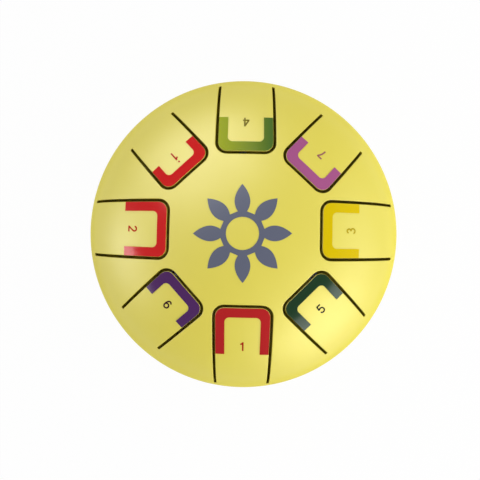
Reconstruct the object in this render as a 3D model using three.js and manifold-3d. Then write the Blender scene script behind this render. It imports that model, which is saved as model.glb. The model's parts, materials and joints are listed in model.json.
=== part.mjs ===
// Steel tongue drum: a pressed dome with eight spring tongues, welded to a bowl that stands on rubber feet.
// Units are millimetres, +Z is up, and the origin is on the table under the middle of the drum.
import * as THREE from "three";
import { mergeVertices } from "three/addons/utils/BufferGeometryUtils.js";
import Module from "manifold-3d";

// Shells
const shellRadius = 77.5; // outside, where dome and bowl meet
const domeHeight = 43.4; // from the weld up to the crown
const bowlDepth = 34; // from the weld down to the flat underside
const wall = 1.5; // sheet thickness
const flatRadius = 54; // flat underside of the bowl
const soundHoleRadius = 20;
const lipBendRadius = 2.4; // the sheet turns up round the sound hole with this outside radius
const lipHeight = 2.2; // straight part of the lip above the bend

// Weld round the belt
const rootOpening = 0.1; // height left between the two shells inside the weld
const bevelHeight = 0.75; // each shell's edge is bevelled this high for the weld
const beadCrown = 0.3; // how far the weld stands proud
const beadClearance = 0.15;

// Tongues
const tongueWidth = 24;
const tongueCorner = 4; // radius at the free end
const crownField = 32; // bare crown, from the drum's axis to the lowest note's tongue
const slotWidth = 1.2; // laser cut round each tongue
const slotEndRound = 0.6; // outer corner where a slot ends
const rootGap = 0.2; // kerf that frees the tongue at its bending line

// Colour markers: glossy vinyl on each tongue
const vinylThickness = 0.2;
const vinylGlue = 0.1;
const markerMargin = 0.2; // bare paint between the marker and the tongue's edge
const markerSideBand = 4;
const markerTipBand = 4.2;
const markerInnerCorner = 2.2;

// Ring of leaves printed at the crown
const leafCount = 8;
const leafTipRadius = 21;
const leafBulgeRadius = 15.5;
const leafBulgeAngle = 0.36; // radians to each side
const leafRootRadius = 9.5;
const leafRootAngle = 0.2; // radians to each side
const leafRingBore = 7;

// Rubber feet, each held by a screw and nut
const footCount = 3;
const footHeight = 8;
const footTopRadius = 8;
const footBottomRadius = 6.6;
const footEdgeRound = 0.8;
const footMargin = 1; // from the foot's edge to the edge of the flat
const screwRadius = 2; // M4
const screwClearance = 0.2; // round the shank, in foot and bowl
const headRadius = 3.6;
const headHeight = 2.4;
const headEdgeRound = 1;
const headRecess = 1.5; // how deep the head lies inside the foot
const headClearance = 0.6; // round the head
const crossLength = 4.2;
const crossWidth = 1;
const crossDepth = 1.3;
const nutAcrossFlats = 7;
const nutHeight = 3.2;
const nutClearance = 0.05; // round the shank
const screwPastNut = 1.2;
const seatGap = 0.05; // between faces that are clamped together

// Facets
const roundSegments = 60;
const domeRings = 9;
const bowlRings = 6;
const bendSteps = 3;
const beadSteps = 4;
const smallSegments = 20;
const cornerSegments = 4;

// The eight notes. pitch is the frequency over the lowest note's and sets the tongue's length. bearing is
// the way from free end to root, in degrees from +X. offset is how far the tongue's middle line passes beside
// the drum's axis. rim is from its root to the dome's edge seen from above. leg is how far the marker runs
// back from the free end.
const red = 0xc42026;
const notes = [
  { name: "1", pitch: 1, bearing: -91.3, offset: 0.9, rim: 5.5, leg: 22, colour: red },
  { name: "2", pitch: 9 / 8, bearing: 178.3, offset: -0.8, rim: 7, leg: 20, colour: red },
  { name: "3", pitch: 5 / 4, bearing: -0.9, offset: 1.9, rim: 7.2, leg: 17.1, colour: 0xdcc40f },
  { name: "4", pitch: 4 / 3, bearing: 89.1, offset: -0.8, rim: 7.2, leg: 16.1, colour: 0x6f9632 },
  { name: "5", pitch: 3 / 2, bearing: -45.6, offset: 1.4, rim: 9.8, leg: 14.8, colour: 0x1b4a33 },
  { name: "6", pitch: 5 / 3, bearing: -139, offset: 1.8, rim: 12.4, leg: 13.5, colour: 0x4f2a6b },
  { name: "7", pitch: 15 / 8, bearing: 46.8, offset: -1.6, rim: 12, leg: 12.8, colour: 0xa85689 },
  { name: "high_1", pitch: 2, bearing: 132, offset: -0.5, rim: 13.8, leg: 11.4, colour: red },
];

const beltHeight = footHeight + bowlDepth;
const crownHeight = beltHeight + domeHeight;
const halfTongue = tongueWidth / 2;
const lowestLength = shellRadius - notes[0].rim - crownField; // seen from above
const footCircleRadius = flatRadius - footTopRadius - footMargin;
const boreRadius = screwRadius + screwClearance;
const nutSeat = footHeight + wall + seatGap;

const paint = new THREE.MeshStandardMaterial({ color: 0xe2d65f, roughness: 0.35, metalness: 0.1 });
const slate = new THREE.MeshStandardMaterial({ color: 0x5a5f77, roughness: 0.4, metalness: 0 });
const rubber = new THREE.MeshStandardMaterial({ color: 0x1c1c1e, roughness: 0.85, metalness: 0 });
const zinc = new THREE.MeshStandardMaterial({ color: 0xb4b6b8, roughness: 0.35, metalness: 1 });

const wasm = await Module();
wasm.setup();

// A closed geometry as a solid that can be cut and joined.
function solidOf(geometry) {
  const bare = geometry.clone();
  bare.deleteAttribute("normal");
  bare.deleteAttribute("uv");
  const merged = mergeVertices(bare, 1e-4);
  const vertProperties = merged.attributes.position.array;
  const triVerts = new Uint32Array(merged.index.array);
  return new wasm.Manifold(new wasm.Mesh({ numProp: 3, vertProperties, triVerts }));
}

function geometryOf(solid) {
  const { vertProperties, triVerts } = solid.getMesh();
  const geometry = new THREE.BufferGeometry();
  geometry.setAttribute("position", new THREE.BufferAttribute(vertProperties, 3));
  geometry.setIndex(new THREE.BufferAttribute(triVerts, 1));
  geometry.computeVertexNormals();
  return geometry;
}

function named(name, geometry, material) {
  const mesh = new THREE.Mesh(geometry, material);
  mesh.name = name;
  return mesh;
}

const at = (x, y) => new THREE.Vector2(x, y);
const polar = (radius, angle) => at(radius * Math.cos(angle), radius * Math.sin(angle));

// Calls make with each of steps + 1 values spread evenly from one end to the other.
function spread(from, to, steps, make) {
  return Array.from({ length: steps + 1 }, (_, i) => make(from + ((to - from) * i) / steps));
}

// Turns a profile of (radius, height) points about the Z axis. The solid is on the profile's left.
function revolve(profile, segments) {
  return new THREE.LatheGeometry(profile, segments).rotateX(Math.PI / 2);
}

function prism(shape, bottom, top, curveSegments) {
  const options = { depth: top - bottom, bevelEnabled: false, curveSegments };
  return new THREE.ExtrudeGeometry(shape, options).translate(0, 0, bottom);
}

// A point of a quarter ellipse that starts at the belt, moved square to the curve by the offset.
function ellipsePoint(centreRadius, across, up, angle, offset) {
  const normal = at(Math.cos(angle) / across, Math.sin(angle) / up).normalize();
  const point = at(centreRadius + across * Math.cos(angle), beltHeight + up * Math.sin(angle));
  return point.addScaledVector(normal, offset);
}

// The dome between two offsets from its outer surface, with the points of its edge between them. Every layer
// has the same rings, so that layers lie on each other facet by facet.
function domeLayer(inner, outer, edge = []) {
  const crown = Math.PI / 2;
  const lowest = Math.asin(bevelHeight / domeHeight);
  const side = (from, to, offset) =>
    spread(from, to, domeRings, (angle) => ellipsePoint(0, shellRadius, domeHeight, angle, offset));
  const profile = [...side(crown, lowest, inner), ...edge, ...side(lowest, crown, outer)];
  return solidOf(revolve(profile, roundSegments));
}

// Runs a plan outline round the free end of a tongue, from one side of its root to the other. x runs
// outwards from the drum's axis and y across the tongue.
function roundFreeEnd(shape, root, end, halfWidth, corner) {
  shape.lineTo(end + corner, -halfWidth);
  shape.absarc(end + corner, -halfWidth + corner, corner, -Math.PI / 2, -Math.PI, true);
  shape.absarc(end + corner, halfWidth - corner, corner, Math.PI, Math.PI / 2, true);
  shape.lineTo(root, halfWidth);
}

// A cantilever's pitch goes with one over its length squared.
const tongueLength = (note) => lowestLength / Math.sqrt(note.pitch);
const tongueRoot = (note) => shellRadius - note.rim;
const tongueEnd = (note) => tongueRoot(note) - tongueLength(note);

function tongueOutline(note) {
  const shape = new THREE.Shape().moveTo(tongueRoot(note), -halfTongue);
  roundFreeEnd(shape, tongueRoot(note), tongueEnd(note), halfTongue, tongueCorner);
  return shape;
}

// The hole left in the dome: the tongue and the slot round it, with the slot's outer corners rounded.
function windowOutline(note) {
  const halfWindow = halfTongue + slotWidth;
  const bendX = tongueRoot(note) + rootGap - slotEndRound;
  const bendY = halfWindow - slotEndRound;
  const shape = new THREE.Shape().moveTo(bendX + slotEndRound, bendY);
  shape.absarc(bendX, -bendY, slotEndRound, 0, -Math.PI / 2, true);
  roundFreeEnd(shape, bendX, tongueEnd(note) - slotWidth, halfWindow, tongueCorner + slotWidth);
  shape.absarc(bendX, bendY, slotEndRound, Math.PI / 2, 0, true);
  return shape;
}

// A band round the tongue's free end with two straight legs.
function markerOutline(note) {
  const legEnd = tongueEnd(note) + note.leg;
  const outerEnd = tongueEnd(note) + markerMargin;
  const outerHalf = halfTongue - markerMargin;
  const innerHalf = outerHalf - markerSideBand;
  const cornerX = outerEnd + markerTipBand + markerInnerCorner;
  const cornerY = innerHalf - markerInnerCorner;
  const shape = new THREE.Shape().moveTo(legEnd, -outerHalf);
  roundFreeEnd(shape, legEnd, outerEnd, outerHalf, tongueCorner - markerMargin);
  shape.lineTo(legEnd, innerHalf);
  shape.lineTo(cornerX, innerHalf);
  shape.absarc(cornerX, cornerY, markerInnerCorner, Math.PI / 2, Math.PI, false);
  shape.absarc(cornerX, -cornerY, markerInnerCorner, -Math.PI, -Math.PI / 2, false);
  shape.lineTo(legEnd, -innerHalf);
  return shape;
}

// A plan outline as an upright prism through the dome.
function through(outline) {
  return prism(outline, beltHeight + bevelHeight, crownHeight + wall, cornerSegments);
}

function placed(note, outline) {
  const turn = THREE.MathUtils.degToRad(note.bearing);
  return solidOf(through(outline).translate(0, note.offset, 0).rotateZ(turn));
}

function leafRing() {
  const shape = new THREE.Shape().moveTo(...polar(leafRootRadius, -leafRootAngle));
  for (let i = 0; i < leafCount; i++) {
    const middle = (2 * Math.PI * i) / leafCount;
    const tip = polar(leafTipRadius, middle);
    const lastRoot = polar(leafRootRadius, middle + leafRootAngle);
    shape.lineTo(...polar(leafRootRadius, middle - leafRootAngle));
    shape.quadraticCurveTo(...polar(leafBulgeRadius, middle - leafBulgeAngle), ...tip);
    shape.quadraticCurveTo(...polar(leafBulgeRadius, middle + leafBulgeAngle), ...lastRoot);
  }
  shape.holes.push(new THREE.Path().absarc(0, 0, leafRingBore, 0, 2 * Math.PI, true));
  return shape;
}

const footSpots = Array.from({ length: footCount }, (_, i) =>
  polar(footCircleRadius, Math.PI / 2 + (2 * Math.PI * i) / footCount),
);

// The bowl's profile runs down the inside, round the lip of the sound hole and up the outside.
function bowl() {
  const flat = Math.PI / 2;
  const lowest = Math.asin(bevelHeight / bowlDepth);
  const side = (from, to, offset) =>
    spread(from, to, bowlRings, (angle) =>
      ellipsePoint(flatRadius, shellRadius - flatRadius, -bowlDepth, angle, offset),
    );
  const bendCentre = at(soundHoleRadius + lipBendRadius, footHeight + lipBendRadius);
  const bend = (from, to, radius) =>
    spread(from, to, bendSteps, (angle) => polar(radius, angle).add(bendCentre));
  const lipTop = bendCentre.y + lipHeight;
  const profile = [
    at(shellRadius - wall, beltHeight - rootOpening / 2),
    ...side(lowest, flat, -wall),
    ...bend(-Math.PI / 2, -Math.PI, lipBendRadius - wall),
    at(soundHoleRadius + wall, lipTop),
    at(soundHoleRadius, lipTop),
    ...bend(-Math.PI, -Math.PI / 2, lipBendRadius),
    ...side(flat, lowest, 0),
    at(shellRadius - wall, beltHeight - rootOpening / 2),
  ];
  return footSpots.reduce((solid, spot) => {
    const drill = new THREE.CylinderGeometry(boreRadius, boreRadius, 4 * wall, smallSegments);
    return solid.subtract(solidOf(drill.rotateX(Math.PI / 2).translate(...spot, footHeight)));
  }, solidOf(revolve(profile, roundSegments)));
}

// The weld fills the groove between the two bevels and stands a little proud.
function weldBead() {
  const innerPoint = at(shellRadius - wall + beadClearance, beltHeight);
  const halfHeight = bevelHeight - beadClearance;
  const face = spread(-Math.PI / 2, Math.PI / 2, beadSteps, (angle) =>
    at(shellRadius + beadCrown * Math.cos(angle), beltHeight + halfHeight * Math.sin(angle)),
  );
  return revolve([innerPoint, ...face, innerPoint], roundSegments);
}

function foot() {
  const top = footHeight - seatGap;
  const pocketRadius = headRadius + headClearance;
  const pocketTop = headRecess + headHeight + seatGap;
  const profile = [
    at(boreRadius, pocketTop),
    at(pocketRadius, pocketTop),
    at(pocketRadius, 0),
    at(footBottomRadius - footEdgeRound, 0),
    at(footBottomRadius, footEdgeRound),
    at(footTopRadius, top - footEdgeRound),
    at(footTopRadius - footEdgeRound, top),
    at(boreRadius, top),
    at(boreRadius, pocketTop),
  ];
  return revolve(profile, smallSegments);
}

function screw() {
  const headTop = headRecess + headHeight;
  const end = nutSeat + nutHeight + screwPastNut;
  const profile = [
    at(0, headRecess),
    at(headRadius - headEdgeRound, headRecess),
    at(headRadius, headRecess + headEdgeRound),
    at(headRadius, headTop),
    at(screwRadius, headTop),
    at(screwRadius, end),
    at(0, end),
  ];
  const slot = (x, y) => solidOf(new THREE.BoxGeometry(x, y, 2 * crossDepth).translate(0, 0, headRecess));
  const cross = slot(crossLength, crossWidth).add(slot(crossWidth, crossLength));
  return geometryOf(solidOf(revolve(profile, smallSegments)).subtract(cross));
}

function nut() {
  const corner = nutAcrossFlats / Math.sqrt(3);
  const hexagon = new THREE.Shape(spread(0, (5 * Math.PI) / 3, 5, (angle) => polar(corner, angle)));
  hexagon.holes.push(new THREE.Path().absarc(0, 0, screwRadius + nutClearance, 0, 2 * Math.PI, true));
  return prism(hexagon, nutSeat, nutSeat + nutHeight, smallSegments / 2);
}

const drum = new THREE.Group();

const blank = domeLayer(-wall, 0, [at(shellRadius - wall, beltHeight + rootOpening / 2)]);
const vinylSheet = domeLayer(vinylGlue, vinylGlue + vinylThickness);
let upperShell = blank;
for (const note of notes) {
  const vinyl = new THREE.MeshStandardMaterial({ color: note.colour, roughness: 0.15, metalness: 0 });
  const tongue = blank.intersect(placed(note, tongueOutline(note)));
  const marker = vinylSheet.intersect(placed(note, markerOutline(note)));
  upperShell = upperShell.subtract(placed(note, windowOutline(note)));
  drum.add(named(`tongue_${note.name}`, geometryOf(tongue), paint));
  drum.add(named(`marker_${note.name}`, geometryOf(marker), vinyl));
}
drum.add(named("upper_shell", geometryOf(upperShell), paint));
drum.add(named("lower_shell", geometryOf(bowl()), paint));
drum.add(named("weld_bead", weldBead(), paint));
drum.add(named("crown_rosette", geometryOf(vinylSheet.intersect(solidOf(through(leafRing())))), slate));

footSpots.forEach((spot, i) => {
  const pieces = [
    named(`foot_${i + 1}`, foot(), rubber),
    named(`foot_screw_${i + 1}`, screw(), zinc),
    named(`foot_nut_${i + 1}`, nut(), zinc),
  ];
  pieces.forEach((piece) => piece.position.set(...spot, 0));
  drum.add(...pieces);
});

export default drum;
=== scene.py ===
"""Dresses the steel tongue drum: fine shells, tongues, glossy markers, digits, feet and a studio."""

import json
import logging
import math
from collections.abc import Callable, Sequence
from dataclasses import dataclass, field
from enum import Enum

import bmesh
import bpy
import numpy as np
from mathutils import Matrix, Vector
from mathutils.geometry import delaunay_2d_cdt

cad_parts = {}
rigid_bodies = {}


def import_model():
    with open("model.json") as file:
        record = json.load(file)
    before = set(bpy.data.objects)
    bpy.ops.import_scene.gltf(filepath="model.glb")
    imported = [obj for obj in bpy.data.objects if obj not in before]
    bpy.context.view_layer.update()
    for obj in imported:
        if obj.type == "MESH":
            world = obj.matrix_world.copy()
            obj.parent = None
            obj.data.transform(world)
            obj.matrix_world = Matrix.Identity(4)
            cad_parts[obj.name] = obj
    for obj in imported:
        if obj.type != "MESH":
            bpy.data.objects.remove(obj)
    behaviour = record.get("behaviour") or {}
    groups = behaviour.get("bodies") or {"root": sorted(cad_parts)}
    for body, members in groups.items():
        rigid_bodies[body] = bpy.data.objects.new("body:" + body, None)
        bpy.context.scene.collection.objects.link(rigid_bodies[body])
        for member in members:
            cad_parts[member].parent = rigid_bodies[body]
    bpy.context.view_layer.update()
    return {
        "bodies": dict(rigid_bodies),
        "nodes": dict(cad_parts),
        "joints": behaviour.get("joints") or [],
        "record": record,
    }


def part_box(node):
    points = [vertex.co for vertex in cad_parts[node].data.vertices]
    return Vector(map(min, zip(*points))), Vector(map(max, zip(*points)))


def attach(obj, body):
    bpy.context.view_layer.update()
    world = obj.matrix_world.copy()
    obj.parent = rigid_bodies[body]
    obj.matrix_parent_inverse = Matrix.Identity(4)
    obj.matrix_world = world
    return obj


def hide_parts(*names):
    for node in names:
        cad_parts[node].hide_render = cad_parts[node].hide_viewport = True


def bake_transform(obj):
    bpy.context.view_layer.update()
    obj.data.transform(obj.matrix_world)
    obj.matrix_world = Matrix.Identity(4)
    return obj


LOG = logging.getLogger("tongue_drum")
MM = 0.001
TINY = 1e-12  # keeps a division clear of zero
SAME_POINT = 1e-8  # points of a layout that lie closer are one
SAME_VERTEX = 1e-6  # vertices of a turned piece that lie closer are one
NO_AREA = 1e-14  # a triangle whose doubled area is less is left out

Colour = tuple[float, float, float, float]
Spot = tuple[float, float]
Path = list[Spot]
Profile = Sequence[Spot]
Array = np.ndarray
Mesh = bpy.types.Mesh
Material = bpy.types.Material
Piece = bpy.types.Object
Socket = bpy.types.NodeSocket
Sockets = dict[str, Socket]

WHITE: Colour = (1.0, 1.0, 1.0, 1.0)


def screen(red: int, green: int, blue: int) -> Colour:
    """Turns a screen colour into the linear one that shaders take.

    Args:
        red: Red from 0 to 255.
        green: Green from 0 to 255.
        blue: Blue from 0 to 255.

    Returns:
        The linear colour with full alpha.
    """
    channels = [value / 255 for value in (red, green, blue)]
    linear = [c / 12.92 if c <= 0.04045 else ((c + 0.055) / 1.055) ** 2.4 for c in channels]
    return (linear[0], linear[1], linear[2], 1.0)


def dimmed(colour: Colour, share: float) -> Colour:
    """Gives a colour with only a share of its red, green and blue."""
    return tuple([channel * share for channel in colour[:3]] + [1.0])


def polar(radius: float, angle: float, centre: Spot = (0.0, 0.0)) -> Spot:
    """Finds a point by its distance from a centre and its angle."""
    return (centre[0] + radius * math.cos(angle), centre[1] + radius * math.sin(angle))


def reaches(points: Array) -> Array:
    """Gives each flat point's distance from the origin, never quite zero."""
    return np.maximum(np.hypot(points[:, 0], points[:, 1]), TINY)


class Slot(Enum):
    """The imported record's material slots."""

    PAINT = "yellow_paint"
    RED = "marker_red"
    GOLD = "marker_gold"
    LEAF = "marker_leaf_green"
    DARK_GREEN = "marker_dark_green"
    VIOLET = "marker_violet"
    MAUVE = "marker_mauve"
    PRINT = "slate_print"
    RUBBER = "foot_rubber"
    ZINC = "zinc_plate"


@dataclass(frozen=True)
class Note:
    """One note: its name, its marker's colour and its digit."""

    name: str
    slot: Slot
    film: Colour
    ink: Colour
    digit: str
    digit_reach: float  # from the drum's axis to the digit's middle, seen from above
    fade: Colour | None = None  # the marker's colour at its other side, where its colour runs across it
    shine: float = 0.03  # how strongly the marker mirrors the lamps
    dotted: bool = False  # a dot over the digit raises it by an octave


# The films of 1, 2 and high_1 are one red vinyl. Their different brightness is painted light and shade: each
# is lightened or darkened for how the lamps light its place.
NOTES = (
    Note("1", Slot.RED, screen(188, 38, 40), screen(176, 24, 10), "1", 50.0 * MM),
    Note("2", Slot.RED, screen(222, 10, 14), screen(206, 50, 8), "2", 48.7 * MM, shine=0.2),
    Note("3", Slot.GOLD, screen(225, 196, 8), screen(190, 166, 24), "3", 47.6 * MM),
    Note("4", Slot.LEAF, screen(172, 183, 36), screen(130, 118, 30), "4", 49.3 * MM, screen(84, 116, 48)),
    Note("5", Slot.DARK_GREEN, screen(0, 50, 16), screen(24, 22, 8), "5", 47.7 * MM, shine=0.2),
    Note("6", Slot.VIOLET, screen(76, 20, 96), screen(56, 16, 34), "6", 45.3 * MM, shine=0.24),
    Note("7", Slot.MAUVE, screen(174, 92, 143), screen(160, 96, 100), "7", 49.4 * MM),
    Note(
        "high_1", Slot.RED, screen(224, 30, 32), screen(200, 30, 18), "1", 45.2 * MM, shine=0.015, dotted=True
    ),
)


@dataclass(frozen=True)
class DomeForm:
    """The dome's outer surface: the upper half of an ellipsoid that stands on the belt."""

    radius: float
    rise: float
    belt: float
    wall: float = 1.5 * MM

    @staticmethod
    def from_frame() -> "DomeForm":
        """Takes the dome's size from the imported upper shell.

        Returns:
            The dome's form.
        """
        low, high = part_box("upper_shell")
        belt = round(low.z, 4)  # to a tenth of a millimetre
        return DomeForm(radius=high.x, rise=high.z - belt, belt=belt)

    def height_share(self, plan: Array) -> Array:
        """Gives how high the outer surface stands over plan points, as a share of the rise."""
        return np.sqrt(np.clip(1 - (plan**2).sum(1) / self.radius**2, 0, 1))

    def normals(self, plan: Array) -> Array:
        """Gives the outward unit vectors square to the surface over plan points, one a row."""
        slope = np.column_stack([plan / self.radius**2, self.height_share(plan) / self.rise])
        return slope / np.linalg.norm(slope, axis=1)[:, None]

    def outside(self, plan: Array, lift: float = 0.0) -> Array:
        """Finds the points of the outer surface, or of one that lies over it.

        Args:
            plan: Points seen from above, one (x, y) a row.
            lift: How far the surface lies over the dome, measured square to it.

        Returns:
            Points, one (x, y, z) a row.
        """
        height = self.belt + self.rise * self.height_share(plan)
        if lift:
            height = height + lift / self.normals(plan)[:, 2]
        return np.column_stack([plan, height])

    def inside(self, plan: Array) -> Array:
        """Finds the points of the inner surface, drawn in near the belt to clear the wall.

        Args:
            plan: Points seen from above, one (x, y) a row.

        Returns:
            Points, one (x, y, z) a row.
        """
        inner = self.radius - self.wall
        bend = inner - self.wall
        reach = reaches(plan)
        squeeze = (inner - bend) / (self.radius - bend)
        drawn = np.where(reach > bend, bend + (reach - bend) * squeeze, reach)
        share = np.clip(1 - (drawn / inner) ** 2, 0, 1)
        height = self.belt + (self.rise - self.wall) * np.sqrt(share)
        return np.column_stack([plan * (drawn / reach)[:, None], height])

    def unroll(self, plan: Array) -> Array:
        """Lays plan points out flat, so that the dome's steep edge gets as much room as its crown."""
        angle = np.arccos(np.clip(reaches(plan) / self.radius, 0, 1))
        return plan * (self.radius * (1 - angle / (math.pi / 2)) / reaches(plan))[:, None]

    def roll(self, flat: Array) -> Array:
        """Brings points of the flat layout back to the plan."""
        angle = (1 - reaches(flat) / self.radius) * (math.pi / 2)
        return flat * (self.radius * np.cos(angle) / reaches(flat))[:, None]


@dataclass(frozen=True)
class TonguePlace:
    """Where a tongue lies: a flat frame with u out from the drum's axis and v across the tongue."""

    out: Array
    across: Array
    offset: float
    root: float
    end: float
    half_width: float
    leg_end: float
    corner: float = 4.0 * MM
    slot: float = 1.35 * MM
    slot_round: float = 0.6 * MM  # outer corner where a slot ends
    kerf: float = 0.2 * MM

    @staticmethod
    def from_frame(frame: dict, note: Note) -> "TonguePlace":
        """Reads a tongue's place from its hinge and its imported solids.

        Args:
            frame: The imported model.
            note: The tongue's note.

        Returns:
            The place of the tongue.
        """
        joint = next(j for j in frame["joints"] if j["child"] == f"tongue_{note.name}")
        axis = np.array(joint["axis"][:2])
        out = np.array([-axis[1], axis[0]])
        across = -axis
        offset = float(np.dot(joint["pos_m"][:2], across))
        corners = {}
        for node in ("tongue", "marker"):
            mesh = frame["nodes"][f"{node}_{note.name}"].data
            corners[node] = np.array([vertex.co[:2] for vertex in mesh.vertices])
        tongue = corners["tongue"] @ out
        half_width = float(np.abs(corners["tongue"] @ across - offset).max())
        leg_end = float((corners["marker"] @ out).max())
        return TonguePlace(out, across, offset, float(tongue.max()), float(tongue.min()), half_width, leg_end)

    @property
    def window_root(self) -> float:
        """Where the dome's sheet takes over from the tongue."""
        return self.root + self.kerf

    def plan(self, local: Profile | Array) -> Array:
        """Brings (u, v) points of the tongue's frame to the drum's plan, one a row."""
        points = np.asarray(local, float).reshape(-1, 2)
        return np.outer(points[:, 0], self.out) + np.outer(points[:, 1] + self.offset, self.across)


def line(start: Spot, stop: Spot, step: float) -> Path:
    """Spreads points along a straight line, without its last one.

    Args:
        start: The first point.
        stop: The point where the line ends.
        step: The longest way between two points.

    Returns:
        The points.
    """
    count = max(1, math.ceil(math.dist(start, stop) / step))
    shares = [i / count for i in range(count)]
    return [(start[0] + (stop[0] - start[0]) * t, start[1] + (stop[1] - start[1]) * t) for t in shares]


def arc(centre: Spot, radius: float, start: float, stop: float, steps: int = 8) -> Path:
    """Spreads points along a round corner between two angles in quarter turns, without its last one."""
    return [polar(radius, (start + (stop - start) * i / steps) * math.pi / 2, centre) for i in range(steps)]


def round_free_end(root: float, end: float, half: float, corner: float, step: float) -> Path:
    """Runs from one side of a tongue's root round its free end to the other side, without the last point.

    Args:
        root: How far out the sides start.
        end: How far out the free end lies.
        half: Half the width.
        corner: Radius of the corners.
        step: The longest way between two points on the straights.

    Returns:
        The points.
    """
    bend = end + corner
    return [
        *line((root, -half), (bend, -half), step),
        *arc((bend, corner - half), corner, -1, -2),
        *line((end, corner - half), (end, half - corner), step),
        *arc((bend, half - corner), corner, 2, 1),
        *line((bend, half), (root, half), step),
    ]


@dataclass
class PlanPatch:
    """A triangulated patch of the dome seen from above."""

    plan: Array
    triangles: Array

    def rim(self) -> Array:
        """Finds the edges round the patch.

        Returns:
            Pairs of point numbers, with the patch on the left of each edge.
        """
        count = len(self.plan)
        tri = self.triangles
        edges = np.concatenate([tri[:, [0, 1]], tri[:, [1, 2]], tri[:, [2, 0]]])
        forward = edges[:, 0] * count + edges[:, 1]
        backward = edges[:, 1] * count + edges[:, 0]
        return edges[~np.isin(forward, backward)]

    def only(self, keep: Array) -> "PlanPatch":
        """Makes a patch of the triangles that are marked True, without the points that they don't use."""
        used, triangles = np.unique(self.triangles[keep], return_inverse=True)
        return PlanPatch(self.plan[used], triangles.reshape(-1, 3))


def signed_area(loop: Array) -> float:
    """Gives the area inside a closed loop of flat points, below zero where it runs clockwise."""
    following = np.roll(loop, -1, axis=0)
    return float(np.cross(loop, following).sum() / 2)


def triangulate(
    points: Array, edges: list[tuple[int, int]], faces: list[list[int]]
) -> tuple[Array, Array, list[list[int]]]:
    """Triangulates flat points so that no triangle crosses the given edges.

    Args:
        points: Flat points, one a row.
        edges: Pairs of point numbers.
        faces: Closed outlines as lists of point numbers.

    Returns:
        The triangle corners' flat places, the triangles, and the outlines that hold each triangle.
    """
    flat = [Vector(point) for point in points]
    faces = [face if signed_area(points[face]) > 0 else face[::-1] for face in faces]
    made = delaunay_2d_cdt(flat, edges, faces, 0, SAME_POINT)
    corners = np.array([point[:] for point in made[0]])
    triangles = np.array(made[2])
    first, second, third = (corners[triangles[:, i]] for i in range(3))
    turn = np.cross(second - first, third - first)
    triangles[turn < 0] = triangles[turn < 0][:, ::-1]
    solid = np.abs(turn) > NO_AREA
    holders = [made[5][i] for i in np.flatnonzero(solid)]
    return corners, triangles[solid], holders


def clear_of(points: Array, lines: Array, gap: float, batch: int = 400) -> Array:
    """Keeps the points that lie further than a gap from every point of some lines.

    Args:
        points: Flat points, one a row.
        lines: The lines' points, one a row.
        gap: The gap.
        batch: How many of the lines' points are compared at a time.

    Returns:
        The points that are kept.
    """
    far = np.ones(len(points), bool)
    for start in range(0, len(lines), batch):
        gaps = np.linalg.norm(points[:, None] - lines[None, start:start + batch], axis=2)
        far &= gaps.min(1) > gap
    return points[far]


def filled(
    loops: Sequence[Path | Array], inner: Array | None = None, hole: int | None = None
) -> PlanPatch:
    """Fills closed outlines with triangles.

    Args:
        loops: The outlines. They may cross each other.
        inner: More points, for a finer patch.
        hole: The number of the outline that stays empty, if one does.

    Returns:
        The flat patch.
    """
    faces = []
    start = 0
    for loop in loops:
        faces.append(list(range(start, start + len(loop))))
        start += len(loop)
    points = np.concatenate(loops if inner is None else [*loops, inner])
    corners, triangles, holders = triangulate(points, [], faces)
    inside = np.array([bool(holder) and hole not in holder for holder in holders])
    return PlanPatch(corners, triangles).only(inside)


def new_mesh(
    name: str,
    points: Array,
    faces: Sequence[Sequence[int]],
    normals: Array | None = None,
    finishes: Sequence[int] | None = None,
) -> Mesh:
    """Makes a smooth mesh.

    Args:
        name: The mesh's name.
        points: Vertices, one (x, y, z) a row.
        faces: Faces as lists of vertex numbers.
        normals: One shading normal for each face corner, or None to leave them to the faces.
        finishes: One material number for each face, or None for a single material.

    Returns:
        The mesh.
    """
    mesh = bpy.data.meshes.new(name)
    mesh.from_pydata([tuple(point) for point in points], [], [tuple(face) for face in faces])
    mesh.polygons.foreach_set("use_smooth", [True] * len(mesh.polygons))
    if finishes is not None:
        mesh.polygons.foreach_set("material_index", list(finishes))
    mesh.update()
    if normals is not None:
        mesh.normals_split_custom_set([tuple(normal) for normal in normals])
    return mesh


def closed_sheet(
    name: str, patch: PlanPatch, top: Array, bottom: Array, top_normals: Array
) -> Mesh:
    """Makes a closed sheet between two surfaces over the same patch. Its edge and underside are material 1.

    Args:
        name: The mesh's name.
        patch: The patch that both surfaces cover.
        top: The upper surface, one point for each of the patch's.
        bottom: The lower surface, one point for each of the patch's.
        top_normals: The upper surface's shading normals, one for each point.

    Returns:
        The mesh.
    """
    count = len(patch.plan)
    under = patch.triangles[:, ::-1]
    rim = patch.rim()
    walls = np.column_stack([rim[:, 1], rim[:, 0], rim[:, 0] + count, rim[:, 1] + count])
    along = top[rim[:, 1]] - top[rim[:, 0]]
    down = bottom[rim[:, 0]] - top[rim[:, 0]]
    wall_normals = np.cross(down, along)
    wall_normals /= np.maximum(np.linalg.norm(wall_normals, axis=1), TINY)[:, None]
    faces = [*patch.triangles.tolist(), *(under + count).tolist(), *walls.tolist()]
    normals = np.concatenate([
        top_normals[patch.triangles.ravel()],
        -top_normals[under.ravel()],
        np.repeat(wall_normals, 4, axis=0),
    ])
    finishes = [0] * len(patch.triangles) + [1] * (len(under) + len(walls))
    return new_mesh(name, np.concatenate([top, bottom]), faces, normals, finishes)


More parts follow.
